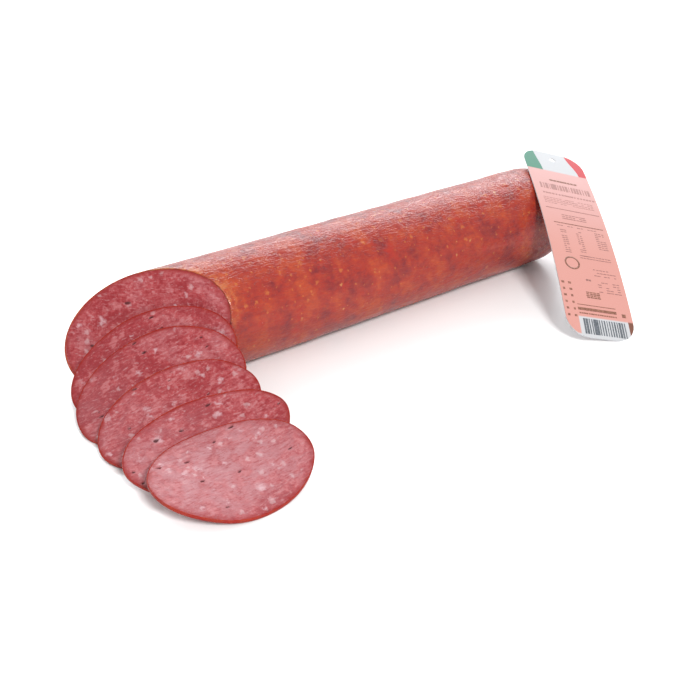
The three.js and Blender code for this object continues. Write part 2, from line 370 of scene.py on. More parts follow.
def make_skin(name, gloss, fringe, blush):
    """The casing: red smoke colour over the meat, with fat showing through as orange specks, and painted
    shade in its creases.
    """
    material, graph, shader = new_material(
        name, Coat_Weight=gloss, Coat_Roughness=0.2, Specular_IOR_Level=0.05,
        Subsurface_Weight=0.08, Subsurface_Scale=1.5 * MM,
    )
    shader.inputs["Subsurface Radius"].default_value = (1.0, 0.3, 0.15)
    place = object_place(graph)
    patches = mottle(graph, place, 62.0, 0.14, SKIN_MAROON, SKIN_BRICK, SKIN_ORANGE)
    grain = mottle(graph, place, 260.0, 0.16, SKIN_MAROON, SKIN_BRICK, SKIN_ORANGE)
    shade = graph.mix(0.38, patches["Color"], grain["Color"])
    for color, strength, scale, share, size, softness, ragged in SKIN_SPOTS:
        spots = flecks(graph, place, scale, share, size, softness, ragged)
        shade = graph.tint(shade, spots, strength, color)
    crease = wrinkles(graph, place, 420.0, 0.3)
    # Painted shade: the casing is darkened towards maroon in the creases of its wrinkles.
    shade = graph.mix(graph.ramp(crease, 0.0, 0.5, 0.14, 0.0), shade, SKIN_MAROON)
    shade = graph.mix(blush, shade, HOOP_RED)
    patchy = graph.ramp(grain["Cloud"], 0.42, 0.6, 0.1, 1.0)
    edge = graph.math("MULTIPLY", attribute(graph, "cut_edge"), patchy)
    shade = graph.tint(shade, edge, fringe, SKIN_PALE)
    graph.feed(shader.inputs["Base Color"], shade)
    rough = graph.noise(place, 120.0, 4.0, 0.6)
    graph.feed(shader.inputs["Roughness"], graph.ramp(rough, 0.3, 0.7, 0.34, 0.56))
    fine = graph.noise(place, 700.0, 3.0, 0.6)
    height = graph.math("ADD", graph.math("MULTIPLY", crease, 0.55), graph.math("MULTIPLY", fine, 0.45))
    bump(graph, shader, height, 0.3 * MM, 0.9)
    return material


METAL_DULL = (0.45, 0.46, 0.48, 1)
METAL_PLAIN = (0.66, 0.67, 0.69, 1)
METAL_BRIGHT = (0.78, 0.79, 0.8, 1)


def make_clip_metal():
    """Soft aluminium with fine marks from drawing the strip."""
    material, graph, shader = new_material("clip_aluminium", Metallic=1.0)
    place = object_place(graph)
    tone = mottle(graph, place, 700.0, 0.2, METAL_DULL, METAL_PLAIN, METAL_BRIGHT)
    graph.feed(shader.inputs["Base Color"], tone["Color"])
    drawn = wrinkles(graph, place, 1500.0, 8.0)
    graph.feed(shader.inputs["Roughness"], graph.ramp(tone["Cloud"], 0.3, 0.7, 0.25, 0.5))
    bump(graph, shader, drawn, 0.03 * MM, 0.5)
    return material


CARD_SALMON = (0.49, 0.218, 0.178, 1)
CARD_PALE = (0.535, 0.335, 0.335, 1)
CARD_WHITE = (0.43, 0.435, 0.45, 1)
CARD_GREEN = (0.036, 0.17, 0.11, 1)
CARD_RED = (0.42, 0.014, 0.022, 1)
INK_BROWN = (0.15, 0.06, 0.04, 1)
INKS = (
    # name, where it lies thick, where it lies thin
    ("ink_brown", INK_BROWN, (0.26, 0.12, 0.08, 1)),
    ("ink_grey", (0.20, 0.095, 0.085, 1), (0.28, 0.13, 0.11, 1)),
    ("ink_faint", (0.28, 0.14, 0.13, 1), (0.38, 0.19, 0.165, 1)),
    ("ink_black", (0.07, 0.08, 0.09, 1), (0.13, 0.14, 0.16, 1)),
)

# The card's coloured fields, as shares of its width (from the left) and its length (from below).
HEAD_BAND = 0.865
GREEN_CORNER = (0.26, 0.21)  # where its slanted side meets the head's foot and the top edge
RED_CORNER = (0.86, 0.74)
FOOT_BAND = 0.012
BAR_PANEL = (0.19, 0.92, 0.086)  # left, right and top
PRINT_BLUR = 0.004  # half the width of the change from one field to the next


def make_card():
    """Coated card: a salmon field between a white head with coloured corners and a white foot."""
    material, graph, shader = new_material(
        "tag_card", Roughness=0.5, Coat_Weight=0.06, Coat_Roughness=0.2, Specular_IOR_Level=0.2
    )
    uv = graph.add("ShaderNodeUVMap", uv_map="print").outputs["UV"]
    across, along, _ = graph.add("ShaderNodeSeparateXYZ", {0: uv}).outputs
    fibres = graph.noise(graph.vector("MULTIPLY", uv, (30.0, 110.0, 1.0)), 4.0, 3.0)
    field = graph.mix(graph.ramp(fibres, 0.3, 0.7, 0.0, 0.3), CARD_SALMON, CARD_PALE)
    field = graph.mix(graph.ramp(along, 0.35, 0.85, 0.0, 0.55), field, CARD_PALE)

    def past(value, limit):
        return graph.ramp(graph.math("SUBTRACT", value, limit), -PRINT_BLUR, PRINT_BLUR)

    def short_of(value, limit):
        return graph.math("SUBTRACT", 1.0, past(value, limit))

    def slanted(foot, top):
        climb = graph.ramp(along, HEAD_BAND, 1.0)
        return graph.math("ADD", foot, graph.math("MULTIPLY", climb, top - foot))

    green = short_of(across, slanted(*GREEN_CORNER))
    head = graph.mix(green, CARD_WHITE, CARD_GREEN)
    head = graph.mix(past(across, slanted(*RED_CORNER)), head, CARD_RED)
    shade = graph.mix(past(along, HEAD_BAND), field, head)
    left, right, top = BAR_PANEL
    low_down = short_of(along, top)
    shade = graph.tint(shade, past(across, right), low_down, INK_BROWN)
    between = graph.math("MULTIPLY", past(across, left), short_of(across, right))
    panel = graph.math("MULTIPLY", between, low_down)
    shade = graph.mix(graph.math("MAXIMUM", panel, short_of(along, FOOT_BAND)), shade, CARD_WHITE)
    shade = graph.mix(attribute(graph, "bare_card"), shade, CARD_WHITE)
    graph.feed(shader.inputs["Base Color"], shade)
    bump(graph, shader, fibres, 0.03 * MM, 0.4)
    return material


def make_ink(name, thick, thin):
    """Printing ink, a little uneven where it covers thinly."""
    material, graph, shader = new_material(name, Roughness=0.5, Specular_IOR_Level=0.3)
    place = object_place(graph)
    cover = graph.noise(place, 900.0, 2.0)
    graph.feed(shader.inputs["Base Color"], graph.mix(graph.ramp(cover, 0.35, 0.7), thick, thin))
    return material


FLOOR_LOW = (0.90, 0.895, 0.89, 1)
FLOOR_HIGH = (0.92, 0.917, 0.915, 1)
FLOOR_GLOW = (0.9, 3.0, 0.6)  # distances where it begins and is full, and its strength


def make_floor_paint():
    """Pale paint that brightens far from the log, so that the floor runs into the backdrop."""
    material, graph, shader = new_material("studio_floor", Specular_IOR_Level=0.25, Roughness=0.3)
    place = object_place(graph)
    tone = graph.noise(place, 3.0, 2.0)
    graph.feed(shader.inputs["Base Color"], graph.mix(tone, FLOOR_LOW, FLOOR_HIGH))
    far = graph.add("ShaderNodeVectorMath", {0: place}, operation="LENGTH").outputs["Value"]
    near, full, strength = FLOOR_GLOW
    graph.feed(shader.inputs["Emission Strength"], graph.ramp(far, near, full, 0.0, strength))
    return material


# ---- geometry trees ----


def finish_tree(graph, geometry, material, out):
    """Ends a tree: real geometry instead of instances, and its material."""
    whole = graph.add("GeometryNodeRealizeInstances", {"Geometry": geometry}).outputs["Geometry"]
    dressed = graph.add("GeometryNodeSetMaterial", {"Geometry": whole, "Material": material})
    graph.feed(out["Geometry"], dressed.outputs["Geometry"])


def named(graph, name, kind="FLOAT"):
    """One of the mesh's own attributes."""
    node = graph.add("GeometryNodeInputNamedAttribute", {"Name": name}, data_type=kind)
    return node.outputs["Attribute"]


def stored(graph, geometry, name, value):
    """The geometry with one more attribute on it, a number for each point."""
    feeds = {"Geometry": geometry, "Name": name, "Value": value}
    node = graph.add("GeometryNodeStoreNamedAttribute", feeds, data_type="FLOAT", domain="POINT")
    return node.outputs["Geometry"]


def moved_out(graph, geometry, distance):
    """The geometry with each point moved along its normal."""
    normal = graph.add("GeometryNodeInputNormal").outputs["Normal"]
    feeds = {"Geometry": geometry, "Offset": graph.scaled(normal, distance)}
    return graph.add("GeometryNodeSetPosition", feeds).outputs["Geometry"]


def make_cut_tree():
    """Gives a cut face its relief: air pits, slightly proud fat and a smeared grain."""
    inputs = [
        ("Geometry", GEOMETRY, None),
        ("Pit scale", FLOAT, 120.0),
        ("Pit share", FLOAT, 0.3),
        ("Pit depth", FLOAT, 0.65 * MM),
        ("Fat scale", FLOAT, 175.0),
        ("Fat share", FLOAT, 0.13),
        ("Fat rise", FLOAT, 0.07 * MM),
        ("Grain depth", FLOAT, 0.16 * MM),
        ("Material", MATERIAL, None),
    ]
    graph, given, out = new_group("Cut relief", "GeometryNodeTree", inputs, [("Geometry", GEOMETRY)])
    place = named(graph, "meat_place", "FLOAT_VECTOR")
    inside = named(graph, "cut")
    stretched = graph.vector("MULTIPLY", place, (0.5, 1.0, 1.0))
    pit = flecks_into(graph, stretched, given["Pit scale"], given["Pit share"], 0.115, 0.5, 0.3, "2D")
    pit = graph.math("MULTIPLY", pit, inside)
    fat = flecks_into(graph, place, given["Fat scale"], given["Fat share"], 0.38, 0.6, 0.8, "2D")
    fat = graph.math("MULTIPLY", fat, inside)
    geometry = stored(graph, given["Geometry"], "pit", pit)
    unpitted = graph.math("SUBTRACT", 1.0, pit)
    geometry = stored(graph, geometry, "fat", graph.math("MULTIPLY", fat, unpitted))
    grain = graph.relief(place, 330.0, 3.0)
    smear = graph.relief(named(graph, "swirl", "FLOAT_VECTOR"), 1.0, 3.0)
    rough = graph.math("MULTIPLY", graph.math("ADD", grain, smear), given["Grain depth"])
    rise = graph.math("ADD", rough, graph.math("MULTIPLY", fat, given["Fat rise"]))
    rise = graph.math("SUBTRACT", rise, graph.math("MULTIPLY", pit, given["Pit depth"]))
    geometry = moved_out(graph, geometry, graph.math("MULTIPLY", rise, inside))
    finish_tree(graph, geometry, given["Material"], out)
    return graph.tree


def make_skin_tree():
    """Lumps, dimples and long creases on the casing, fading to nothing at its bare edges."""
    inputs = [
        ("Geometry", GEOMETRY, None),
        ("Lump", FLOAT, 0.7 * MM),
        ("Dimple", FLOAT, 0.42 * MM),
        ("Crease", FLOAT, 0.22 * MM),
        ("Material", MATERIAL, None),
    ]
    graph, given, out = new_group("Skin relief", "GeometryNodeTree", inputs, [("Geometry", GEOMETRY)])
    place = graph.add("GeometryNodeInputPosition").outputs["Position"]
    lump = graph.relief(place, 22.0, 1.0)
    drawn_out = graph.vector("MULTIPLY", place, (0.7, 1.0, 1.0))
    dimple = graph.relief(drawn_out, 115.0, 2.0)
    long_way = graph.vector("MULTIPLY", place, (0.22, 1.0, 1.0))
    cloud = graph.noise(long_way, 230.0, 3.0, 0.6)
    from_fold = graph.math("ABSOLUTE", graph.math("SUBTRACT", cloud, 0.5))
    fold = graph.ramp(from_fold, 0.0, 0.09, -1.0, 0.0)
    where = graph.ramp(graph.noise(place, 30.0, 2.0), 0.4, 0.62)
    rise = graph.math("MULTIPLY", lump, given["Lump"])
    rise = graph.math("ADD", rise, graph.math("MULTIPLY", dimple, given["Dimple"]))
    crease = graph.math("MULTIPLY", graph.math("MULTIPLY", fold, where), given["Crease"])
    rise = graph.math("MULTIPLY", graph.math("ADD", rise, crease), named(graph, "loose_skin"))
    geometry = moved_out(graph, given["Geometry"], rise)
    finish_tree(graph, geometry, given["Material"], out)
    return graph.tree


def make_print_tree():
    """A block of plain printed marks: rows and columns of short bars of uneven length."""
    inputs = [
        ("Geometry", GEOMETRY, None),
        ("Rows", "NodeSocketInt", 3),
        ("Columns", "NodeSocketInt", 8),
        ("Row pitch", FLOAT, 1.6 * MM),
        ("Column pitch", FLOAT, 3.0 * MM),
        ("Mark height", FLOAT, 0.5 * MM),
        ("Shortest mark", FLOAT, 0.6),
        ("Gap share", FLOAT, 0.15),
        ("Seed", "NodeSocketInt", 1),
        ("Material", MATERIAL, None),
    ]
    graph, given, out = new_group("Printed marks", "GeometryNodeTree", inputs, [("Geometry", GEOMETRY)])
    wide = graph.math("MULTIPLY", graph.math("SUBTRACT", given["Columns"], 1.0), given["Column pitch"])
    tall = graph.math("MULTIPLY", graph.math("SUBTRACT", given["Rows"], 1.0), given["Row pitch"])
    spots = graph.add(
        "GeometryNodeMeshGrid",
        {"Size X": wide, "Size Y": tall, "Vertices X": given["Columns"], "Vertices Y": given["Rows"]},
    ).outputs["Mesh"]
    points = graph.add("GeometryNodeMeshToPoints", {"Mesh": spots}).outputs["Points"]
    kept = graph.add("FunctionNodeRandomValue", {"Seed": given["Seed"]}, data_type="FLOAT").outputs[1]
    share = graph.add("FunctionNodeRandomValue", data_type="FLOAT")
    graph.feed(share.inputs[2], given["Shortest mark"])
    graph.feed(share.inputs["Seed"], graph.math("ADD", given["Seed"], 40.0))
    length = graph.math("MULTIPLY", share.outputs[1], given["Column pitch"])
    size = graph.add("ShaderNodeCombineXYZ", {0: length, 1: given["Mark height"], 2: INK_LIFT})
    unit = {"Size": (1.0, 1.0, 1.0), "Vertices X": 3, "Vertices Y": 6}
    mark = graph.add("GeometryNodeMeshCube", unit).outputs["Mesh"]
    placed = graph.add(
        "GeometryNodeInstanceOnPoints",
        {
            "Points": points,
            "Selection": graph.math("GREATER_THAN", kept, given["Gap share"]),
            "Instance": mark,
            "Scale": size.outputs[0],
        },
    )
    finish_tree(graph, placed.outputs["Instances"], given["Material"], out)
    return graph.tree


def keep_evaluated(piece):
    """Swaps a piece's mesh for what its modifiers make of it, and drops the modifiers."""
    bpy.context.view_layer.update()
    evaluated = piece.evaluated_get(bpy.context.evaluated_depsgraph_get())
    mesh = bpy.data.meshes.new_from_object(evaluated)
    piece.modifiers.clear()
    piece.data = mesh


def grow(piece, tree, **values):
    """Runs a geometry tree on a piece with the given named inputs and keeps the plain mesh."""
    modifier = piece.modifiers.new("build", "NODES")
    modifier.node_group = tree
    items = tree.interface.items_tree
    sockets = {item.name: item.identifier for item in items if item.in_out == "INPUT"}
    for label, value in values.items():
        modifier[sockets[label.replace("_", " ")]] = value
    keep_evaluated(piece)


# ---- mesh building ----


def new_piece(name, points, faces, material=None):
    mesh = bpy.data.meshes.new(name)
    mesh.from_pydata([tuple(point) for point in points], [], faces)
    if material:
        mesh.materials.append(material)
    mesh.polygons.foreach_set("use_smooth", [True] * len(mesh.polygons))
    mesh.update()
    piece = bpy.data.objects.new(name, mesh)
    bpy.context.scene.collection.objects.link(piece)
    return piece


def give_attribute(piece, name, values):
    """Stores one number or vector for each vertex."""
    values = np.asarray(values, dtype=np.float32)
    kind, key = ("FLOAT_VECTOR", "vector") if values.ndim == 2 else ("FLOAT", "value")
    piece.data.attributes.new(name, kind, "POINT").data.foreach_set(key, values.ravel())


def mesh_points(mesh):
    """A mesh's vertices, one row each."""
    points = np.empty(len(mesh.vertices) * 3)
    mesh.vertices.foreach_get("co", points)
    return points.reshape(-1, 3)


def move_points(mesh, points):
    mesh.vertices.foreach_set("co", points.ravel())
    mesh.update()


def keep_off_floor(piece):
    points = mesh_points(piece.data)
    points[:, 2] = np.maximum(points[:, 2], FLOOR_GAP)
    move_points(piece.data, points)


def settle(piece, node):
    """Ties a piece to the frame: it rides on the root body, and the CAD node it stands for is hidden."""
    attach(piece, "root")
    if node:
        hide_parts(node)


def tube_faces(rings, count, closed_ring=False):
    """Quads between rings of the same count; with closed_ring the last ring joins the first."""
    faces = []
    for i in range(rings if closed_ring else rings - 1):
        a, b = i * count, ((i + 1) % rings) * count
        faces += [(a + k, a + (k + 1) % count, b + (k + 1) % count, b + k) for k in range(count)]
    return faces


def turned(faces, shift=0):
    """The same faces seen from the other side, with their vertex numbers shifted."""
    return [tuple(shift + index for index in reversed(face)) for face in faces]


def node_points(name):
    """A CAD node's vertices, each once."""
    return np.unique(mesh_points(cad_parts[name].data).round(7), axis=0)


class Leaf:
    """A thin bent plate measured from a CAD node: its middle, directions, half sizes and bend.

    The bend is a polynomial of the given degree in the places along and across the plate.
    """

    def __init__(self, name, degree):
        points = node_points(name)
        _, _, axes = np.linalg.svd(points - points.mean(0), full_matrices=False)
        self.along, self.normal = axes[0], axes[2]
        if self.normal[2] < 0:
            self.normal = -self.normal
        if self.along[0] < 0:
            self.along = -self.along
        self.across = np.cross(self.normal, self.along)
        directions = np.array([self.along, self.across, self.normal])
        flat = (points - points.mean(0)) @ directions.T
        middle = (flat.max(0) + flat.min(0)) / 2 * (1, 1, 0)
        flat -= middle
        self.middle = points.mean(0) + middle @ directions
        self.half = flat.max(0)[:2]
        self.powers = [(i, j) for i in range(degree + 1) for j in range(degree + 1 - i)]
        terms = self._terms(flat[:, 0], flat[:, 1])
        self.bend, *_ = np.linalg.lstsq(terms, flat[:, 2], rcond=None)
        self.half_thickness = float(np.quantile(abs(flat[:, 2] - terms @ self.bend), 0.6))

    def _terms(self, u, v):
        u, v = u / self.half[0], v / self.half[0]
        return np.stack([u**i * v**j for i, j in self.powers], axis=-1)

    def points(self, u, v, height):
        """Points of the plate from places along and across it, and heights above its middle."""
        rise = self._terms(u, v) @ self.bend + height
        return (
            self.middle
            + np.multiply.outer(u, self.along)
            + np.multiply.outer(v, self.across)
            + np.multiply.outer(rise, self.normal)
        )


def disc_grid(count):
    """A square grid bent into the unit disc: places, quads, and the rim's vertices in order."""
    step = np.linspace(-1, 1, count + 1)
    x, y = np.meshgrid(step, step)
    place = np.stack([x * np.sqrt(1 - y**2 / 2), y * np.sqrt(1 - x**2 / 2)], axis=-1).reshape(-1, 2)
    row = count + 1
    quads = [
        (j * row + i, j * row + i + 1, (j + 1) * row + i + 1, (j + 1) * row + i)
        for j in range(count)
        for i in range(count)
    ]
    bottom = list(range(count))
    right = [j * row + count for j in range(count)]
    top = [count * row + count - i for i in range(count)]
    left = [(count - j) * row for j in range(count)]
    return place, quads, bottom + right + top + left


def swirl_place(place, shift):
    """Coordinates for smeared grain: slow round the outline, quick from the middle to the rim."""
    radius = np.hypot(place[:, 0], place[:, 1])
    angle = np.arctan2(place[:, 1], place[:, 0])
    rings = radius * 15 + 0.9 * np.sin(2 * angle + shift)
    slow = 4.5 * radius
    return np.stack([slow * np.cos(angle), slow * np.sin(angle) + shift, rings], axis=-1)


def smooth_step(value, low, high):
    share = np.clip((value - low) / (high - low), 0, 1)
    return share * share * (3 - 2 * share)


# ---- the log ----


def cut_plane():
    """A point on the log's cut face and the face's outward normal, from the CAD faces that face -X."""
    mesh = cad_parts["log_meat"].data
    facing = [face for face in mesh.polygons if face.normal.x < -0.4 and face.center.x < LOG_LOW.x / 2]
    area = sum(face.area for face in facing)
    normal = sum((face.normal * face.area for face in facing), Vector()).normalized()
    point = sum((face.center * face.area for face in facing), Vector()) / area
    return point, normal


CUT_POINT, CUT_NORMAL = cut_plane()


def cut_x(y, z):
    """Where the cut plane meets a line along the log."""
    fall = CUT_NORMAL.y * (y - CUT_POINT.y) + CUT_NORMAL.z * (z - CUT_POINT.z)
    return CUT_POINT.x - fall / CUT_NORMAL.x


def log_ring(radius, angle, at, pleat=0.0):
    """A ring of points across the log, flat where it rests. at gives x from y and z."""
    reach = radius + pleat
    y = reach * np.cos(angle)
    z = np.maximum(AXIS_Z + reach * np.sin(angle), RADIUS - radius)
    return np.stack([np.broadcast_to(at(y, z), y.shape), y, z], axis=-1)


def pleats(angle, depth):
    """Uneven gathers round the closed end."""
    coarse = np.sin(COARSE_PLEATS * angle + 0.8 * np.sin(3 * angle))
    return depth * (coarse + 0.5 * np.sin(FINE_PLEATS * angle + 1.0))


def barrel_rings(radius, angle, count, start=0.0):
    """Rings from the slanted cut to where the dome begins."""
    dome_start = DOME_TIP - DOME_LENGTH
    return [
        log_ring(radius, angle, lambda y, z: cut_x(y, z) * (1 - share) + dome_start * share)
        for share in np.linspace(start, 1, count)
    ]


def dome_rings(radius, angle, count, tip, smallest, pleat=0.0):
    """Rings over the closed end, down to its neck."""
    rings = []
    for i in range(count):
        share = math.sin(math.pi / 2 * (i + 1) / (count + 0.2))
        x = tip - DOME_LENGTH * (1 - share)
        size = max(smallest, radius * (1 - share**DOME_POWER) ** 0.5)
        gather = pleats(angle, pleat * float(smooth_step(share, 0.35, 1.0)))
        rings.append(log_ring(size, angle, lambda y, z: x, gather))
    return rings


def build_log_meat(material, cut_tree):
    """The meat: a finely divided cut face, then plain walls hidden by the casing."""
    place, quads, rim = disc_grid(FACE_GRID)
    radius = RADIUS - WALL + MEAT_OVERLAP
    y = radius * place[:, 0]
    z = np.maximum(AXIS_Z + radius * place[:, 1], WALL)
    inward = np.hypot(place[:, 0], place[:, 1])
    sink = RIM_SINK * (1 + 2 * smooth_step(inward, 0.9, 1.0))
    face = np.stack([cut_x(y, z), y, z], axis=-1) - np.multiply.outer(sink, np.array(CUT_NORMAL))
    angle = np.arctan2(place[rim, 1], place[rim, 0])
    body = barrel_rings(radius, angle, count=5, start=0.02)
    body += dome_rings(radius, angle, count=8, tip=DOME_TIP - WALL, smallest=NECK_RADIUS * 0.7)
    points = np.concatenate([face, *body, body[-1].mean(0)[None]])
    count, base = len(rim), len(face)
    faces = turned(quads)
    faces += [(rim[k], rim[(k + 1) % count], base + (k + 1) % count, base + k) for k in range(count)]
    faces += [tuple(base + index for index in face) for face in tube_faces(len(body), count)]
    last, hub = base + (len(body) - 1) * count, len(points) - 1
    faces += [(last + k, last + (k + 1) % count, hub) for k in range(count)]
    piece = new_piece("log_meat_cut", points, turned(faces), material)
    level = np.cross((0, 0, 1), CUT_NORMAL)
    level /= np.linalg.norm(level)
    upslope = np.cross(CUT_NORMAL, level)
    offset = points - np.array(CUT_POINT)
    on_face = np.stack([offset @ level, offset @ upslope, np.zeros(len(points))], axis=-1)
    give_attribute(piece, "meat_place", on_face)
    everywhere = np.concatenate([place, np.zeros((len(points) - base, 2))])
    give_attribute(piece, "swirl", swirl_place(everywhere, 0.0))
    body_rim = np.ones(len(points) - base)
    give_attribute(piece, "rim", np.concatenate([smooth_step(inward, 0.92, 1.0), body_rim]))
    give_attribute(piece, "cut", np.concatenate([smooth_step(inward, 0.995, 0.96), 0 * body_rim]))
    give_attribute(piece, "pallor", np.zeros(len(points)))
    grow(piece, cut_tree, Material=material)
    return piece


def build_log_casing(material, skin_tree):
    """The casing: inner wall, bare edge at the cut, wrinkled outside and gathered end."""
    angle = np.linspace(0, math.tau, AROUND_LOG, endpoint=False)
    inner = RADIUS - WALL
    neck_end = CLIP_HIGH.x + 0.6 * MM
    tail_end = LOG_HIGH.x
    inside = barrel_rings(inner, angle, count=4)
    inside += dome_rings(inner, angle, count=5, tip=DOME_TIP - WALL, smallest=NECK_RADIUS * 0.8)
    outside = barrel_rings(RADIUS, angle, ALONG_LOG)
    outside += dome_rings(RADIUS, angle, ALONG_DOME, DOME_TIP, NECK_RADIUS, pleat=0.55 * MM)
    steps = np.linspace(0, 1, ALONG_TAIL)
    neck = []
    for step in steps[1::3]:
        x = DOME_TIP + step * (neck_end - DOME_TIP)
        neck.append(log_ring(NECK_RADIUS, angle, lambda y, z: x, pleats(angle, 0.12 * MM)))
    tail = []
    for step in steps[1:]:
        size = NECK_RADIUS + (TAIL_RADIUS - NECK_RADIUS) * math.sin(step * math.pi / 2)
        ragged = 0.6 * MM * step * np.sin(5 * angle + 1.3)
        ruffle = pleats(angle, 0.85 * MM * step)
        x = neck_end + step * (tail_end - TAIL_FLARE - neck_end)
        ring = log_ring(size, angle, lambda y, z: x, ruffle)
        ring[:, 0] += ragged
        tail.append(ring)
    hollow = [tail[-1] * (1, 0.78, 0.78) + (0, 0, AXIS_Z * 0.22)]
    hollow.append(tail[4] * (1, 0.3, 0.3) + (0, 0, AXIS_Z * 0.7))
    rings = inside[::-1] + outside + neck + tail + hollow
    points = np.concatenate([*rings, rings[0].mean(0)[None], rings[-1].mean(0)[None]])
    faces = tube_faces(len(rings), AROUND_LOG)
    first_hub, last_hub = len(points) - 2, len(points) - 1
    last = (len(rings) - 1) * AROUND_LOG
    faces += [((k + 1) % AROUND_LOG, k, first_hub) for k in range(AROUND_LOG)]
    faces += [(last + k, last + (k + 1) % AROUND_LOG, last_hub) for k in range(AROUND_LOG)]
    piece = new_piece("log_casing_skin", points, turned(faces), material)
    behind = points[:, 0] - cut_x(points[:, 1], points[:, 2])
    ring_of = np.concatenate([np.repeat(np.arange(len(rings)), AROUND_LOG), [0, 0]])
    outer = (ring_of >= len(inside)) & (ring_of < len(inside) + len(outside))
    loose = outer * smooth_step(behind, 0.0, 6 * MM) * smooth_step(points[:, 2], 0.0, 3 * MM)
    give_attribute(piece, "loose_skin", loose)
    near_cut = smooth_step(behind, 9 * MM, 0.0)
    high_up = smooth_step(points[:, 2], 30 * MM, 60 * MM)
    give_attribute(piece, "cut_edge", near_cut * (0.25 + 0.75 * high_up))
    grow(piece, skin_tree, Material=material)
    keep_off_floor(piece)
    return piece


def build_clip(material):
    """A soft metal strip crimped into an oval round the neck, with its ends pressed together."""
    middle = (CLIP_LOW + CLIP_HIGH) / 2
    half_wide = (CLIP_HIGH.x - CLIP_LOW.x) / 2
    reach_y = (CLIP_HIGH.y - CLIP_LOW.y) / 2
    reach_z = (CLIP_HIGH.z - CLIP_LOW.z) / 2
    section = []  # a square with round corners
    for k in range(AROUND_CLIP_WIRE):
        turn = math.tau * (k + 0.5) / AROUND_CLIP_WIRE
        section.append([math.copysign(abs(way) ** 0.5, way) for way in (math.cos(turn), math.sin(turn))])
    points = []
    for k in range(AROUND_CLIP):
        turn = math.tau * k / AROUND_CLIP
        seam = 0.1 * math.exp(-(((math.sin(turn) - 1) / 0.05) ** 2))
        crimps = 0.05 * math.cos(CLIP_CRIMPS * turn) ** 8
        out = Vector((0, math.cos(turn), math.sin(turn)))
        reach = Vector((0, (reach_y - CLIP_WIRE / 2) * out.y, (reach_z - CLIP_WIRE / 2) * out.z))
        centre = middle + reach * (1 - seam - crimps)
        for wide, away in section:
            points.append(centre + out * (away * CLIP_WIRE / 2) + Vector((wide * half_wide, 0, 0)))
    faces = tube_faces(AROUND_CLIP, AROUND_CLIP_WIRE, closed_ring=True)
    return new_piece("end_clip_crimped", points, faces, material)


# ---- the slices ----

# How much paler each slice's meat is, and how much more so towards its left end.
PALLOR = (0.0, 0.0, 0.05, 0.3, 0.95)
PALLOR_SLANT = (0.1, 0.45, 0.5, 0.5, 0.1)

FIRST_SEED = 70
OUTLINE_SHRINK = 0.018  # shares of the slice's half size
OUTLINE_STRAY = 0.034
RIM_LIFT = 0.45 * MM

# Every cut face shows its own stretch of the meat's pattern: how far they lie apart.
SLICE_STEP = 0.031
OTHER_FACE_STEP = 0.015
SIDEWAYS_STEP = (4.1, 2.3)

# The hoop's section: places inwards in wall thicknesses, and up in half thicknesses.
HOOP_PROFILE = (
    (1.0, -0.9), (0.85, -1.0), (0.15, -1.0), (0.0, -0.85), (-0.12, 0.0),
    (0.0, 0.85), (0.15, 1.0), (0.85, 1.0), (1.0, 0.9),
)


def random_waves(draw, counts, least):
    """Waves round an outline, smaller the more turns they have. Gives their sum at an angle."""
    waves = [(turns, draw.uniform(least, 1.0) / turns, draw.uniform(0, math.tau)) for turns in counts]
    return lambda angle: sum(size * np.sin(turns * angle + phase) for turns, size, phase in waves)


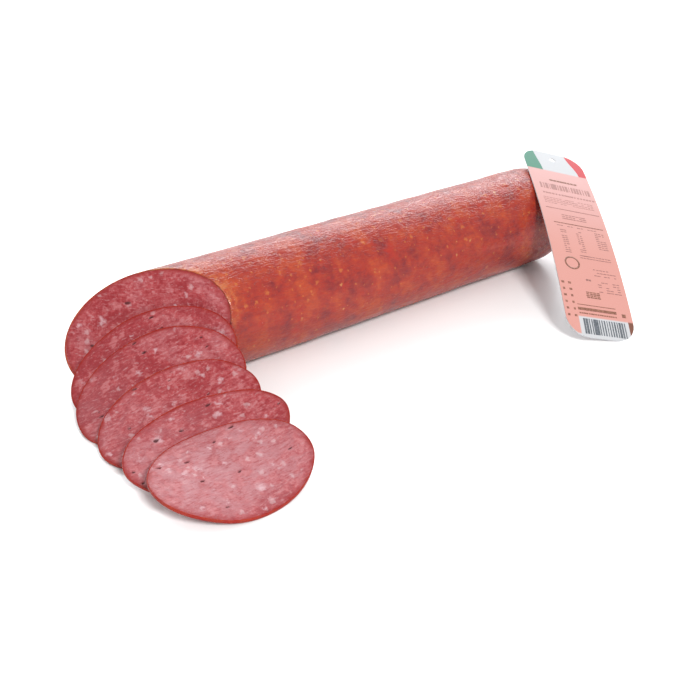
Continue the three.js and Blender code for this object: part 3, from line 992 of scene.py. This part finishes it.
def build_slice(number, meat, skin, cut_tree):
    """One slice: its meat, cut on both faces, and the hoop of casing round it."""
    leaf = Leaf(f"slice_{number}_casing", 2)
    half = leaf.half_thickness
    draw = random.Random(FIRST_SEED + number)
    stray = random_waves(draw, (2, 3, 5, 8), 0.3)
    lift = random_waves(draw, (3, 4, 7), 0.4)

    def laid(place, height, inset):
        """Points of the bent slice from places in a unit disc."""
        angle = np.arctan2(place[:, 1], place[:, 0])
        reach = np.hypot(place[:, 0], place[:, 1])
        size = (leaf.half[:, None] - inset) * (1 - OUTLINE_SHRINK + OUTLINE_STRAY * stray(angle))
        raised = height + RIM_LIFT * lift(angle) * reach**4
        return leaf.points(place[:, 0] * size[0], place[:, 1] * size[1], raised)

    place, quads, rim = disc_grid(SLICE_GRID)
    reach = np.hypot(place[:, 0], place[:, 1])
    sink = RIM_SINK * (0.5 + 1.5 * smooth_step(reach, 0.93, 1.0))
    inset = WALL - MEAT_OVERLAP
    points = np.concatenate([laid(place, half - sink, inset), laid(place, sink - half, inset)])
    base, count = len(place), len(rim)
    faces = quads + turned(quads, base)
    for k in range(count):
        this, following = rim[k], rim[(k + 1) % count]
        faces.append((following, this, base + this, base + following))
    piece = new_piece(f"slice_{number}_meat_cut", points, faces, meat)
    depth = SLICE_STEP * number + np.repeat([0, OTHER_FACE_STEP], base)
    both = np.concatenate([place, place])
    spread = both * leaf.half + depth[:, None] * SIDEWAYS_STEP
    give_attribute(piece, "meat_place", np.column_stack([spread, depth]))
    slant = PALLOR_SLANT[number - 1] * -both[:, 0]
    # Less pale near the rim and towards one edge.
    less_pale = 0.6 * np.tile(reach, 2) ** 6 + 0.38 * np.clip(-both[:, 1], 0, 1) ** 2
    give_attribute(piece, "pallor", np.clip(PALLOR[number - 1] + slant, 0, 1) * (1 - less_pale))
    give_attribute(piece, "swirl", swirl_place(both, 3.7 * number))
    give_attribute(piece, "rim", np.tile(smooth_step(reach, 0.925, 1.0), 2))
    give_attribute(piece, "cut", np.tile(smooth_step(reach, 0.995, 0.96), 2))
    grow(piece, cut_tree, Material=meat)
    keep_off_floor(piece)

    angle = np.linspace(0, math.tau, AROUND_HOOP, endpoint=False)
    circle = np.stack([np.cos(angle), np.sin(angle)], axis=-1)
    rings = [laid(circle, up * half, inward * WALL) for inward, up in HOOP_PROFILE]
    hoop_faces = tube_faces(len(rings), AROUND_HOOP, closed_ring=True)
    hoop = new_piece(f"slice_{number}_casing_hoop", np.concatenate(rings), hoop_faces, skin)
    give_attribute(hoop, "cut_edge", np.full(len(rings) * AROUND_HOOP, 0.25))
    keep_off_floor(hoop)
    return piece, hoop


# ---- the tag ----

HOLE_FROM_TOP = 8 * MM
HOLE_RADIUS = 2.2 * MM
CORNER = 14 * MM
PUNCH_LENGTH = 8 * MM

# Looking at the printed side with the hole at the top, the card's own across direction runs to
# the left, so a place counted from the left edge is turned round.
TAG_HAND = -1

# The printed ring: its middle in shares of the card, and its size.
RING_PLACE = (0.27, 0.333)
RING_RADIUS = 5.2 * MM
RING_WIDTH = 1.1 * MM
AROUND_RING = 48


def build_tag(leaf, card):
    """The card, bent as it leans, with round corners and its punched hole."""
    long, wide = leaf.half
    corner = CORNER * (1 - np.cos(np.linspace(0, math.pi / 2, CORNER_STEPS)))
    middle = np.linspace(CORNER, 2 * long - CORNER, ALONG_TAG)[1:-1]
    stations = np.concatenate([corner, middle, 2 * long - corner[::-1]])
    columns = np.linspace(-1, 1, ACROSS_TAG)
    rings = []
    for station in stations:
        into = max(0.0, CORNER - min(station, 2 * long - station))
        reach = wide - CORNER + math.sqrt(max(0.0, CORNER**2 - into**2))
        u = np.full(len(columns) * 2, station - long)
        v = np.concatenate([columns, columns[::-1]]) * reach
        height = np.repeat([-1, 1], len(columns)) * leaf.half_thickness
        rings.append(leaf.points(u, v, height))
    count = len(columns) * 2
    points = np.concatenate(rings)
    faces = tube_faces(len(rings), count)
    for start, flip in ((0, False), ((len(rings) - 1) * count, True)):
        for k in range(len(columns) - 1):
            quad = (start + k, start + k + 1, start + count - 2 - k, start + count - 1 - k)
            faces.append(tuple(reversed(quad)) if flip else quad)
    piece = new_piece("hang_tag_card", points, faces, card)
    keep_off_floor(piece)
    spot = leaf.points(np.array(long - HOLE_FROM_TOP), np.array(0.0), np.array(0.0))
    bpy.ops.mesh.primitive_cylinder_add(
        vertices=AROUND_HOLE, radius=HOLE_RADIUS, depth=PUNCH_LENGTH, location=spot
    )
    punch = bpy.context.object
    punch.rotation_euler = Vector(leaf.normal).to_track_quat("Z", "Y").to_euler()
    cut = piece.modifiers.new("hole", "BOOLEAN")
    cut.object = punch
    cut.operation = "DIFFERENCE"
    cut.solver = "EXACT"
    keep_evaluated(piece)
    bpy.data.objects.remove(punch)
    print_places(piece, leaf)
    return piece


def print_places(piece, leaf):
    """The card's UV map, and which of its vertices lie on the unprinted back and edges."""
    mesh = piece.data
    offset = mesh_points(mesh) - leaf.middle
    across = TAG_HAND * (offset @ leaf.across) / leaf.half[1]
    along = offset @ leaf.along / leaf.half[0]
    place = 0.5 + np.stack([across, along], axis=-1) / 2
    layer = mesh.uv_layers.new(name="print")
    corners = np.empty(len(mesh.loops), dtype=np.int32)
    mesh.loops.foreach_get("vertex_index", corners)
    layer.data.foreach_set("uv", place[corners].astype(np.float32).ravel())
    bare = [0.0 if Vector(leaf.normal).dot(face.normal) > 0.5 else 1.0 for face in mesh.polygons]
    mesh.attributes.new("bare_card", "FLOAT", "FACE").data.foreach_set("value", bare)
    mesh.polygons.foreach_set("use_smooth", [False] * len(mesh.polygons))


def tag_leaf():
    """The tag's measure, turned so that along runs up to its hole."""
    leaf = Leaf("hang_tag", 3)
    if leaf.along[2] < 0:
        leaf.along, leaf.across = -leaf.along, -leaf.across
        leaf.bend = np.array([c * (-1) ** (i + j) for c, (i, j) in zip(leaf.bend, leaf.powers)])
    return leaf


def build_print(leaf, tree, inks):
    """Every block of marks on the card. A block's place is its middle, as shares of the card."""
    brown, grey, faint, black = inks
    blocks = [
        # across, along, rows, columns, row pitch, column pitch, height, shortest, gaps, ink
        (0.53, 0.800, 1, 8, 1, 2.6, 1.5, 0.75, 0.0, brown),
        (0.52, 0.757, 1, 18, 1, 2.1, 5.6, 0.15, 0.0, faint),
        (0.54, 0.712, 1, 17, 1, 2.3, 1.3, 0.5, 0.05, faint),
        (0.50, 0.668, 4, 16, 1.7, 2.3, 0.4, 0.6, 0.12, faint),
        (0.52, 0.622, 1, 17, 1, 2.3, 0.5, 0.85, 0.0, grey),
        (0.50, 0.580, 3, 7, 1.7, 2.5, 0.5, 0.7, 0.1, grey),
        (0.54, 0.541, 1, 15, 1, 2.4, 0.7, 0.85, 0.0, brown),
        (0.50, 0.526, 1, 12, 1, 2.4, 0.5, 0.6, 0.1, grey),
        (0.26, 0.445, 12, 2, 1.75, 2.2, 0.5, 0.5, 0.15, grey),
        (0.50, 0.440, 13, 2, 1.75, 2.2, 0.5, 0.5, 0.15, grey),
        (0.84, 0.470, 9, 3, 1.75, 2.4, 0.5, 0.5, 0.2, grey),
        (0.66, 0.372, 2, 10, 1.9, 2.2, 0.5, 0.7, 0.1, grey),
        (0.74, 0.300, 3, 7, 2.4, 2.3, 0.5, 0.6, 0.2, grey),
        (0.76, 0.232, 5, 6, 1.9, 2.6, 0.5, 0.6, 0.2, grey),
        (0.055, 0.160, 6, 1, 4.9, 2, 1.5, 0.7, 0.0, brown),
        (0.155, 0.160, 6, 1, 4.9, 2, 1.5, 0.6, 0.0, brown),
        (0.46, 0.258, 1, 2, 1, 1.8, 1.3, 0.8, 0.0, grey),
        (0.48, 0.188, 4, 4, 1.3, 2.4, 0.8, 0.7, 0.0, brown),
        (0.49, 0.139, 1, 1, 1, 26, 0.5, 1.0, 0.0, brown),
        (0.49, 0.120, 1, 1, 1, 26, 2.0, 1.0, 0.0, brown),
        (0.49, 0.101, 1, 17, 1, 1.5, 0.9, 0.6, 0.0, brown),
        (0.88, 0.112, 1, 1, 1, 2.6, 2.6, 1.0, 0.0, brown),
        (0.56, 0.046, 1, 17, 1, 1.7, 11.0, 0.3, 0.06, black),
    ]
    marks = []
    for number, block in enumerate(blocks):
        across, along, rows, columns, row, column, height, shortest, gaps, ink = block
        seed = new_piece(f"marks_{number}", [], [])
        grow(seed, tree, Rows=rows, Columns=columns, Row_pitch=row * MM, Column_pitch=column * MM,
             Mark_height=height * MM, Shortest_mark=shortest, Gap_share=gaps, Seed=number, Material=ink)
        marks.append(on_card(seed, leaf, across, along))
    ring = new_piece("ring", *ring_outline(), brown)
    marks.append(on_card(ring, leaf, *RING_PLACE))
    return joined("hang_tag_print", marks)


def ring_outline():
    """A flat ring with a square section: its points and faces."""
    angle = np.linspace(0, math.tau, AROUND_RING, endpoint=False)
    rings = []
    for inward, height in ((0, 0.5), (1, 0.5), (1, -0.5), (0, -0.5)):
        size = RING_RADIUS - inward * RING_WIDTH
        level = np.full(AROUND_RING, height * INK_LIFT)
        rings.append(np.stack([size * np.cos(angle), size * np.sin(angle), level], axis=-1))
    return np.concatenate(rings), tube_faces(len(rings), AROUND_RING, closed_ring=True)


def on_card(piece, leaf, across, along):
    """Lays a flat piece, drawn with x to the right and y to the card's top, on the bent card."""
    x, y, z = mesh_points(piece.data).T
    x = x + (2 * across - 1) * leaf.half[1]
    y = y + (2 * along - 1) * leaf.half[0]
    move_points(piece.data, leaf.points(y, TAG_HAND * x, leaf.half_thickness + z))
    return piece


def joined(name, pieces):
    bpy.ops.object.select_all(action="DESELECT")
    for piece in pieces:
        piece.select_set(True)
    bpy.context.view_layer.objects.active = pieces[0]
    bpy.ops.object.join()
    pieces[0].name = name
    return pieces[0]


# ---- studio ----

VIEW_AZIMUTH = math.radians(-37.74)
VIEW_ELEVATION = math.radians(28.41)
VIEW_DISTANCE = 0.548
VIEW_TARGET = Vector((-0.0686, -0.0647, 0.020))
LENS = 51.43
SENSOR = 36
AMBIENT = 0.75
FLOOR_SIZE = 16


def bearing(azimuth, elevation):
    """The direction of a point seen from the log at a bearing and a height angle."""
    level = math.cos(elevation)
    return Vector((math.sin(azimuth) * level, -math.cos(azimuth) * level, math.sin(elevation)))


def make_camera():
    data = bpy.data.cameras.new("camera")
    data.lens = LENS
    data.sensor_width = SENSOR
    data.clip_start = 0.01
    camera = bpy.data.objects.new("camera", data)
    camera.location = VIEW_TARGET + bearing(VIEW_AZIMUTH, VIEW_ELEVATION) * VIEW_DISTANCE
    camera.rotation_euler = (math.pi / 2 - VIEW_ELEVATION, 0, VIEW_AZIMUTH)
    bpy.context.scene.collection.objects.link(camera)
    bpy.context.scene.camera = camera


def softbox(name, azimuth, elevation, distance, size, power, color=(1, 1, 1)):
    """An area light that looks at the log from a bearing, a height angle and a distance."""
    data = bpy.data.lights.new(name, "AREA")
    data.shape = "RECTANGLE"
    data.size, data.size_y = size
    data.energy = power
    data.color = color
    light = bpy.data.objects.new(name, data)
    out = bearing(math.radians(azimuth), math.radians(elevation))
    light.location = out * distance
    light.rotation_euler = out.to_track_quat("Z", "Y").to_euler()
    bpy.context.scene.collection.objects.link(light)


def make_studio():
    """A white backdrop, a broad light from behind, a small one in front, and the floor."""
    scene = bpy.context.scene
    scene.view_settings.view_transform = "Standard"
    world = bpy.data.worlds.new("studio")
    world.use_nodes = True
    backdrop = world.node_tree.nodes["Background"]
    backdrop.inputs["Color"].default_value = (1.0, 1.0, 1.0, 1)
    graph = Graph(world.node_tree)
    seen = graph.add("ShaderNodeLightPath").outputs["Is Camera Ray"]
    graph.feed(backdrop.inputs["Strength"], graph.math("MAXIMUM", seen, AMBIENT))
    scene.world = world
    softbox("back_wall", 150, 33, distance=1.7, size=(3.2, 0.9), power=49, color=(0.93, 0.97, 1.0))
    softbox("front_key", -20, 37, distance=1.5, size=(0.3, 0.3), power=20)
    bpy.ops.mesh.primitive_plane_add(size=FLOOR_SIZE)
    floor = bpy.context.object
    floor.name = "floor"
    floor.data.materials.append(make_floor_paint())


# ---- assembly ----

make_camera()
make_studio()
make_flecks_group()
make_mottle_group()
make_wrinkles_group()

meat = make_meat()
skin = make_skin("casing_skin", gloss=0.62, fringe=0.28, blush=0.0)
hoop_skin = make_skin("slice_casing_skin", gloss=0.2, fringe=0.1, blush=0.75)
cut_tree = make_cut_tree()
skin_tree = make_skin_tree()

settle(build_log_meat(meat, cut_tree), "log_meat")
settle(build_log_casing(skin, skin_tree), "log_casing")
settle(build_clip(make_clip_metal()), "end_clip")
for number in range(1, SLICE_COUNT + 1):
    slice_meat, slice_hoop = build_slice(number, meat, hoop_skin, cut_tree)
    settle(slice_meat, f"slice_{number}_meat")
    settle(slice_hoop, f"slice_{number}_casing")

tag_form = tag_leaf()
settle(build_tag(tag_form, make_card()), "hang_tag")
inks = [make_ink(*ink) for ink in INKS]
settle(build_print(tag_form, make_print_tree(), inks), None)
